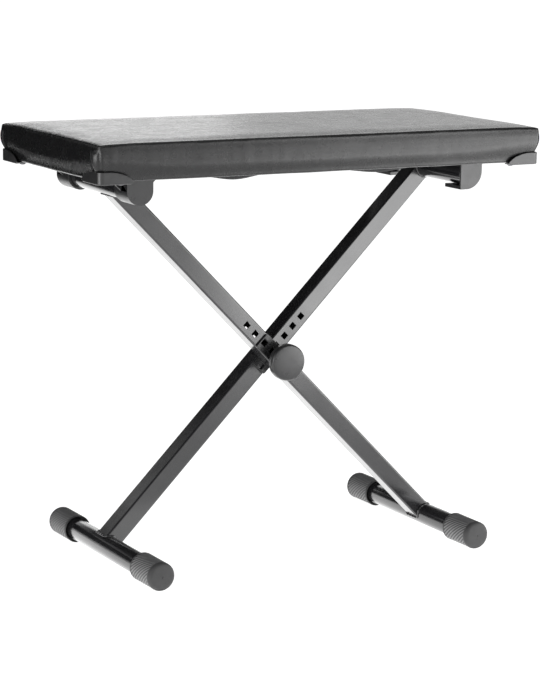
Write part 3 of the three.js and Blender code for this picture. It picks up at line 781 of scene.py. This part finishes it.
def add_knob(plastic, steel, brass):
    """Knob, threaded insert and washer. The knob's profile runs from the middle of its face out
    and round to the back, then along the hub and into the socket for the bolt.
    """
    low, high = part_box("knob")
    axis = centre("pivot_bolt")
    radius = (high.z - low.z) / 2
    head_back = low.y + 14 * MM
    hub = 12.5 * MM
    socket = 6.6 * MM
    room = 4.55 * MM
    floor = high.y - 11.6 * MM
    bottom = low.y + 5 * MM
    profile = [
        (0, low.y),
        (0.35 * radius, low.y + 0.08 * MM),
        (0.65 * radius, low.y + 0.35 * MM),
        (0.82 * radius, low.y + 0.8 * MM),
        *arc(radius - 3.2 * MM, low.y + 4.3 * MM, 3.2 * MM, 3.3 * MM, -78, 0, 10),
        (radius, low.y + 6.9 * MM),
        (radius + 0.1 * MM, low.y + 7.1 * MM),
        (radius, low.y + 7.3 * MM),
        *arc(radius - 2.2 * MM, head_back - 2.2 * MM, 2.2 * MM, 2.2 * MM, 0, 90, 6),
        *reversed(arc(hub + 2.5 * MM, head_back + 1.5 * MM, 1.5 * MM, 1.5 * MM, 180, 270, 5)),
        (hub + 0.8 * MM, high.y - 0.6 * MM),
        (hub + 0.2 * MM, high.y),
        (socket, high.y),
        (socket, floor),
        (room, floor),
        (room, bottom),
        (0, bottom),
    ]
    knob = lathe("hand_knob", profile, axis, steps=96)
    place_piece(knob, ["knob"], plastic)
    finish_node("knob_insert", brass)
    low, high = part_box("knob_washer")
    ring = ring_profile(4.4 * MM, (high.z - low.z) / 2, low.y, high.y, 0.25 * MM)
    washer = lathe("plain_washer", ring, axis, closed=True)
    place_piece(washer, ["knob_washer"], steel)


def add_bolt(steel):
    """Carriage bolt: domed head behind the rear arm, a round neck where the square one sits, thread
    towards the knob.
    """
    low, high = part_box("pivot_bolt")
    axis = centre("pivot_bolt")
    radius, head = 3.95 * MM, 10 * MM
    seat = high.y - 4.7 * MM
    chamfer = 0.9 * MM
    steps = 48
    vertices, rings = [], []

    def add_ring(r, y, thread=False):
        count = steps if r > 0 else 1
        rings.append(range(len(vertices), len(vertices) + count))
        for k in range(count):
            angle = math.tau * k / steps
            out = r
            if thread:
                phase = (y / THREAD_PITCH - k / steps) % 1
                out -= THREAD_DEPTH * abs(2 * phase - 1)
            x, z = axis.x + out * math.sin(angle), axis.z + out * math.cos(angle)
            vertices.append((x, y, z))

    add_ring(0, low.y)
    add_ring(radius - 1.0 * MM, low.y)
    turns = round(THREAD_LENGTH / THREAD_PITCH)
    for k in range(turns * THREAD_STEPS + 1):
        add_ring(radius, low.y + chamfer + k * THREAD_PITCH / THREAD_STEPS, thread=True)
    shank = low.y + chamfer + THREAD_LENGTH
    square = 4.2 * MM
    for r, y in (
        (radius, shank + 0.8 * MM),
        (radius, seat - square),
        (radius, seat),
        (head - 0.3 * MM, seat),
        (head, seat + 0.3 * MM),
        *arc(0, seat + 1.0 * MM, head, 3.7 * MM, 0, 90, 9)[:-1],
        (0, high.y),
    ):
        add_ring(r, y)
    bolt = add_object("carriage_bolt", vertices, bridged(rings, steps), sharp=38)
    place_piece(bolt, ["pivot_bolt"], steel)


# ---- Screws ------------------------------------------------------------------------------


def screw_mesh():
    """Pan-head wood screw, head down, with a cross recess. The head's seat is at the origin."""
    head, height, shank = 3.8 * MM, SCREW_HEAD, 1.9 * MM
    steps = 32
    profile = [(0, -height)]
    profile += [(head * f, -height + 0.9 * MM * f ** 3) for f in (0.3, 0.6, 0.8, 0.93)]
    profile += [(head, -0.9 * MM), (head, -0.15 * MM), (head - 0.15 * MM, 0), (shank, 0)]
    profile += [(shank, 8 * MM), (shank * 0.8, 10.2 * MM), (0, 12.5 * MM)]
    body = lathe("screw_blank", profile, Vector((0, 0, 0)), steps=steps)
    body.data.transform(Matrix.Rotation(math.pi / 2, 4, "X"))
    body.data.update()
    cutters = []
    for turn in (0, math.pi / 2):
        work = bmesh.new()
        bmesh.ops.create_cube(work, size=1)
        mesh = bpy.data.meshes.new("recess")
        bmesh.ops.scale(work, vec=(4.4 * MM, 0.95 * MM, 2.6 * MM), verts=work.verts)
        bmesh.ops.translate(work, vec=(0, 0, -height), verts=work.verts)
        about = Matrix.Rotation(turn, 3, "Z")
        bmesh.ops.rotate(work, cent=(0, 0, 0), matrix=about, verts=work.verts)
        work.to_mesh(mesh)
        work.free()
        cutter = link(bpy.data.objects.new("recess", mesh))
        cut = body.modifiers.new("recess", "BOOLEAN")
        cut.operation = "DIFFERENCE"
        cut.solver = "EXACT"
        cut.object = cutter
        cutters.append(cutter)
    mesh = evaluated_mesh(body)
    for obj in (body, *cutters):
        bpy.data.objects.remove(obj)
    mesh.name = "pan_head_screw"
    mesh.shade_smooth()
    mesh.set_sharp_from_angle(angle=math.radians(35))
    return mesh


def evaluated_mesh(obj):
    graph = bpy.context.evaluated_depsgraph_get()
    graph.update()
    return bpy.data.meshes.new_from_object(obj.evaluated_get(graph))


def add_screws(steel):
    mesh = screw_mesh()
    mesh.materials.clear()
    mesh.materials.append(steel)
    turns = np.random.default_rng(7)
    for node in sorted(frame["nodes"]):
        if "_screw_" not in node:
            continue
        low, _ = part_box(node)
        place = centre(node)
        screw = link(bpy.data.objects.new(node.replace("_screw_", "_wood_screw_"), mesh))
        seat = Vector((place.x, place.y, low.z + SCREW_HEAD))
        turn = Matrix.Rotation(turns.uniform(0, math.tau), 4, "Z")
        screw.matrix_world = Matrix.Translation(seat) @ turn
        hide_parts(node)
        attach(screw, body_of(node))


# ---- Seat --------------------------------------------------------------------------------


def spaced(half, radius, fine, coarse, reach):
    """Coordinates across a block, from -half to half: close together near its ends."""
    turn = [half - radius + radius * math.tan(math.radians(a)) for a in (0, 9, 18, 27, 36, 45)]
    inner = half - radius
    fine_span = min(reach, inner)
    fine_count = max(1, round(fine_span / fine))
    near = [inner - fine_span * k / fine_count for k in range(fine_count, 0, -1)]
    rest = inner - fine_span
    middle = []
    if rest > 0:
        count = max(1, round(2 * rest / coarse))
        middle = [-rest + 2 * rest * k / count for k in range(1, count)]
    right = near + turn
    left = [-v for v in reversed(right)]
    if rest <= 0:
        left = left[:-1]
    return np.array(left + middle + right)


def block_surface(xs, ys, zs):
    """Vertices and quads of a box whose faces are ruled by these coordinates."""
    axes = (xs, ys, zs)
    index, corners, quads = {}, [], []

    def vertex(*key):
        if key not in index:
            index[key] = len(corners)
            corners.append([axis[k] for axis, k in zip(axes, key)])
        return index[key]

    for axis in range(3):
        u, v = (axis + 1) % 3, (axis + 2) % 3
        for end in (0, len(axes[axis]) - 1):
            for i in range(len(axes[u]) - 1):
                for j in range(len(axes[v]) - 1):
                    quad = []
                    for a, b in ((0, 0), (1, 0), (1, 1), (0, 1)):
                        key = [0, 0, 0]
                        key[axis], key[u], key[v] = end, i + a, j + b
                        quad.append(vertex(*key))
                    quads.append(quad if end else quad[::-1])
    return np.array(corners), quads


def rounded(points, half, radius):
    """Moves points on a box's faces onto the same box with round edges."""
    inner = np.clip(points, radius - half, half - radius)
    out = points - inner
    return inner + radius * out / np.linalg.norm(out, axis=1, keepdims=True)


def round_uprights(points, half, radius):
    """Moves points near a block's upright edges onto rounder ones."""
    inner = half[:2] - radius
    out = np.maximum(np.abs(points[:, :2]) - inner, 0)
    reach = np.linalg.norm(out, axis=1)
    past = (out.min(axis=1) > 0) & (reach > radius)
    shrunk = inner + out[past] * (radius / reach[past])[:, None]
    moved = points.copy()
    moved[past, :2] = np.sign(points[past, :2]) * shrunk
    return moved


def swelling(half):
    """How a block's skin swells under inner pressure.

    Gives the grid lines of a coarse block and the outward shift of its top, right end and
    front, each on its own grid.
    """
    lines = [np.linspace(-h, h, max(3, round(2 * h / PROXY_STEP)) + 1) for h in half]
    points, quads = block_surface(*lines)
    proxy = add_object("swelling_proxy", rounded(points, half, CUSHION_RADIUS), quads, sharp=180)
    held = proxy.vertex_groups.new(name="held")
    held.add([int(k) for k in np.flatnonzero(points[:, 2] < -half[2] + MM)], 1, "REPLACE")
    cloth = proxy.modifiers.new("swell", "CLOTH")
    settings = cloth.settings
    settings.quality = 6
    settings.mass = 0.4
    settings.tension_stiffness = 60
    settings.compression_stiffness = 40
    settings.shear_stiffness = 25
    settings.bending_stiffness = 4
    settings.use_pressure = True
    settings.uniform_pressure_force = 1
    settings.vertex_group_mass = "held"
    settings.effector_weights.gravity = 0
    cloth.collision_settings.use_collision = False
    scene = bpy.context.scene
    for step in range(1, SIM_FRAMES + 1):
        scene.frame_set(step)
    mesh = evaluated_mesh(proxy)
    moved = np.empty(len(mesh.vertices) * 3)
    mesh.vertices.foreach_get("co", moved)
    scene.frame_set(1)
    bpy.data.objects.remove(proxy)
    shift = moved.reshape(-1, 3) - points
    grids = []
    for axis, sign, others in ((2, 1, (0, 1)), (0, 1, (1, 2)), (1, -1, (0, 2))):
        on_face = np.flatnonzero(points[:, axis] * sign > half[axis] - 0.01 * MM)
        ranks = [np.searchsorted(lines[k], points[on_face, k] - 0.01 * MM) for k in others]
        grid = np.zeros([len(lines[k]) for k in others])
        grid[ranks[0], ranks[1]] = np.maximum(shift[on_face, axis] * sign, 0)
        full = max(grid.max(), MM / 1000)  # never zero, or the whole skin would be lost
        grids.append((lines[others[0]], lines[others[1]], grid / full))
    return grids


def sampled(field, u, v):
    """Values of a gridded field at the places (u, v), straight between its grid lines."""
    us, vs, grid = field
    i = np.clip(np.searchsorted(us, u) - 1, 0, len(us) - 2)
    j = np.clip(np.searchsorted(vs, v) - 1, 0, len(vs) - 2)
    s = np.clip((u - us[i]) / (us[i + 1] - us[i]), 0, 1)
    t = np.clip((v - vs[j]) / (vs[j + 1] - vs[j]), 0, 1)
    near = grid[i, j] * (1 - s) + grid[i + 1, j] * s
    far = grid[i, j + 1] * (1 - s) + grid[i + 1, j + 1] * s
    return near * (1 - t) + far * t


def sides(points, half):
    """How far each point belongs to the ends and to the front and back, from 0 to 1."""
    reach = 12 * MM
    ends = smooth(np.abs(points[:, 0]), half[0] - reach, half[0] - CUSHION_RADIUS)
    faces = smooth(np.abs(points[:, 1]), half[1] - reach, half[1] - CUSHION_RADIUS)
    return ends, faces


def swollen(points, half):
    """Shift of the skin over foam that presses out, in the shape that the simulation gives."""
    top, end, front = swelling(half)
    x, y, z = points.T
    ends, faces = sides(points, half)
    shift = np.zeros_like(points)
    shift[:, 2] = TOP_SWELL * sampled(top, x, y) * smooth(z / half[2], TOP_FROM, 1)
    shift[:, 0] = np.sign(x) * ends * SIDE_SWELL * sampled(end, y, z)
    shift[:, 1] = np.sign(y) * faces * SIDE_SWELL * sampled(front, x, z)
    return shift


def ridge(distance, place, width, height):
    """A rounded ridge of this height at one distance."""
    return height * np.exp(-(((distance - place) / width) ** 2))


def corner_pleats(points, half):
    """Outward shift of the skin at the tucks beside the four upright corners.

    Each tuck is a fold on the end of the seat between two creases, one of them the corner.
    """
    x, y, z = points.T
    from_end = half[0] - np.abs(x)
    from_face = half[1] - np.abs(y)
    height = z / half[2]
    lens = smooth(height, *PLEAT_OPENS) * (1 - smooth(height, *PLEAT_CLOSES))
    on_end = (from_end < CUSHION_RADIUS) & (from_face > from_end)
    sizes = np.array(PLEAT_SIZES)[2 * (x >= 0) + (y >= 0)]
    fold = ridge(from_face, *PLEAT_FOLD) * on_end
    crease = ridge(from_face, *PLEAT_CREASE) * on_end
    pinch = ridge(np.hypot(from_end, from_face), *PLEAT_PINCH)
    shift = np.zeros_like(points)
    shift[:, 0] = np.sign(x) * (fold - crease - pinch) * lens * sizes
    shift[:, 1] = -np.sign(y) * pinch * lens * sizes
    return shift


def upholstered(points, half):
    """Shift of the skin as it was pulled over the block: full sides, low corners, a tucked hem."""
    x, y, z = points.T
    height = (z / half[2] + 1) / 2
    from_end = half[0] - np.abs(x)
    from_face = half[1] - np.abs(y)
    near_corner = np.exp(-(from_end / CORNER_REACH) ** 2 - (from_face / CORNER_REACH) ** 2)
    at_corner = np.exp(-(from_end / CORNER_SPREAD) ** 2 - (from_face / CORNER_SPREAD) ** 2)
    rise = smooth(height, 0, SIDE_WIDEST + (CORNER_WIDEST - SIDE_WIDEST) * at_corner)
    lean_in = smooth(height, CORNER_WIDEST + 0.1, 1.1)
    bulge = SIDE_BULGE + (CORNER_BULGE - SIDE_BULGE) * at_corner
    tuck = SIDE_TUCK + (CORNER_TUCK - SIDE_TUCK) * at_corner
    outwards = rise * (bulge + tuck) - tuck - SIDE_LEAN * bulge * lean_in
    ends, faces = sides(points, half)
    shift = np.zeros_like(points)
    shift[:, 0] = np.sign(x) * ends * outwards
    shift[:, 1] = np.sign(y) * faces * outwards
    roll = END_ROLL * np.clip(1 - from_end / END_ROLL_REACH, 0, 1) ** 2
    roll += FACE_ROLL * np.clip(1 - from_face / FACE_ROLL_REACH, 0, 1) ** 2
    shift[:, 2] = -smooth(height, TOP_FROM, 1) * (TOP_SINK + CORNER_DROP * near_corner + roll)
    return shift + corner_pleats(points, half)


def ripples(points, half):
    """Small unevenness: slow swells on top, upright draws on the sides, a wavy hem."""
    shift = np.zeros_like(points)
    for k, (x, y, z) in enumerate(points):
        if z > half[2] - CUSHION_RADIUS:
            slow = noise(Vector((x * 14, y * 14, 3)))
            quick = noise(Vector((x * 48, y * 48, 9)))
            shift[k, 2] += SLOW_RIPPLE * slow + QUICK_RIPPLE * quick
        elif z > -half[2] + 0.5 * MM:
            draw = FINE_DRAW * noise(Vector((x * 95, y * 95, z * 14)))
            draw += BROAD_DRAW * noise(Vector((x * 17, y * 17, z * 22 + 5)))
            at_end = half[0] - abs(x) < CUSHION_RADIUS
            shift[k, 0] += END_DRAW_SHARE * math.copysign(draw, x) * at_end
            shift[k, 1] += math.copysign(draw, y) * (half[1] - abs(y) < CUSHION_RADIUS)
        if z < -half[2] + HEM_HEIGHT:
            shift[k, 2] += HEM_WAVE * noise(Vector((x * 19, y * 19, 31)))
    return shift


def add_cushion(material):
    low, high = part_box("seat_cover")
    middle = np.array((low + high) / 2)
    half = np.array((high - low) / 2)
    lines = [spaced(h, CUSHION_RADIUS, FINE_STEP, COARSE_STEP, FINE_REACH) for h in half]
    points, quads = block_surface(*lines)
    points = rounded(points, half, CUSHION_RADIUS)
    points = round_uprights(points, half, UPRIGHT_RADIUS)
    shift = swollen(points, half) + upholstered(points, half) + ripples(points, half)
    cushion = add_object("seat_cushion", points + shift + middle, quads, sharp=75)
    place_piece(cushion, ["seat_cover", "seat_foam"], material)


def droop(x, from_front):
    """The lining hangs in two bags just behind the staples along its front edge."""
    depth = sum(deep * math.exp(-((x - place) / width) ** 2) for place, width, deep in BAGS)
    near, lowest, far = BAG_SPAN
    return depth * smooth(from_front, near, lowest) * (1 - smooth(from_front, lowest, far))


def add_lining(material, steel):
    """The dust lining under the board, held by staples and slack between them."""
    low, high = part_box("seat_lining")
    columns = round((high.x - low.x) / LINING_STEP)
    rows = round((high.y - low.y) / LINING_STEP)
    vertices, faces = [], []
    for j in range(rows + 1):
        for i in range(columns + 1):
            x = low.x + (high.x - low.x) * i / columns
            y = low.y + (high.y - low.y) * j / rows
            edge = min(x - low.x, high.x - x, y - low.y, high.y - y)
            slack = min(edge / LINING_REACH, 1)
            sag = LINING_SAG * slack * (noise(Vector((x * 16, y * 16, 2))) - 0.4)
            wave = math.sin(math.tau * (x + y) / PUCKER_PITCH)
            pucker = PUCKER * wave * max(0, 1 - edge / PUCKER_REACH)
            vertices.append((x, y, low.z + 0.2 * MM + sag + pucker - droop(x, y - low.y)))
    for j in range(rows):
        for i in range(columns):
            a = j * (columns + 1) + i
            faces.append([a, a + columns + 1, a + columns + 2, a + 1])
    lining = add_object("dust_lining", vertices, faces, sharp=180)
    thick = lining.modifiers.new("thickness", "SOLIDIFY")
    thick.thickness = LINING_THICKNESS
    thick.offset = 0
    staples = add_staples(low, high, steel)
    place_piece(lining, ["seat_lining"], material)


def add_staples(low, high, steel):
    """Staples along the lining's edge, each turned a little."""
    x0, x1 = low.x + STAPLE_INSET, high.x - STAPLE_INSET
    y0, y1 = low.y + STAPLE_INSET, high.y - STAPLE_INSET
    turns = np.random.default_rng(11)
    work = bmesh.new()
    places = []
    columns, rows = round((x1 - x0) / STAPLE_PITCH), round((y1 - y0) / STAPLE_PITCH)
    for k in range(1, columns):
        x = x0 + (x1 - x0) * k / columns
        places += [(x, y0, 0), (x, y1, 0)]
    for k in range(1, rows):
        y = y0 + (y1 - y0) * k / rows
        places += [(x0, y, math.pi / 2), (x1, y, math.pi / 2)]
    for x, y, along in places:
        turn = Matrix.Rotation(along + turns.normal(0, STAPLE_TURN), 4, "Z")
        place = Matrix.Translation((x, y, low.z - 0.05 * MM)) @ turn
        bmesh.ops.create_cube(work, size=1, matrix=place @ Matrix.Diagonal((*STAPLE_SIZE, 1)))
    bmesh.ops.bevel(
        work, geom=work.edges[:], offset=0.15 * MM, segments=2, affect="EDGES", profile=0.5)
    mesh = bpy.data.meshes.new("lining_staples")
    work.to_mesh(mesh)
    work.free()
    mesh.shade_smooth()
    staples = link(bpy.data.objects.new("lining_staples", mesh))
    return add_trim(staples, "seat", steel)


def add_seat(vinyl, cloth, ply, plastic, steel):
    add_cushion(vinyl)
    add_lining(cloth, steel)
    finish_node("seat_board", ply)
    for end in ("front", "rear"):
        for kind in ("bearing", "hook"):
            node = f"{end}_{kind}_bracket"
            bracket = refined(f"{node}_moulding", node, 0.45 * MM)
            place_piece(bracket, [node], plastic)
        for side in ("left", "right"):
            node = f"{end}_{side}_corner_protector"
            guard = refined(f"{end}_{side}_corner_guard", node, 0.45 * MM, hem=1.5 * MM)
            place_piece(guard, [node], plastic)
    add_screws(steel)


# ---- The whole bench ---------------------------------------------------------------------


def main():
    bpy.context.scene.view_settings.view_transform = "Standard"
    add_camera()
    add_world()
    add_floor()
    add_flags()
    add_lights()
    paint, rubber, plastic = frame_paint(), cap_rubber(), black_plastic()
    bright, black = zinc_steel(), black_steel()
    add_frame(paint, dark_plastic(), rubber)
    add_knob(plastic, bright, turned_brass())
    add_bolt(bright)
    add_seat(leatherette(), dust_cloth(), plywood(), plastic, black)


main()
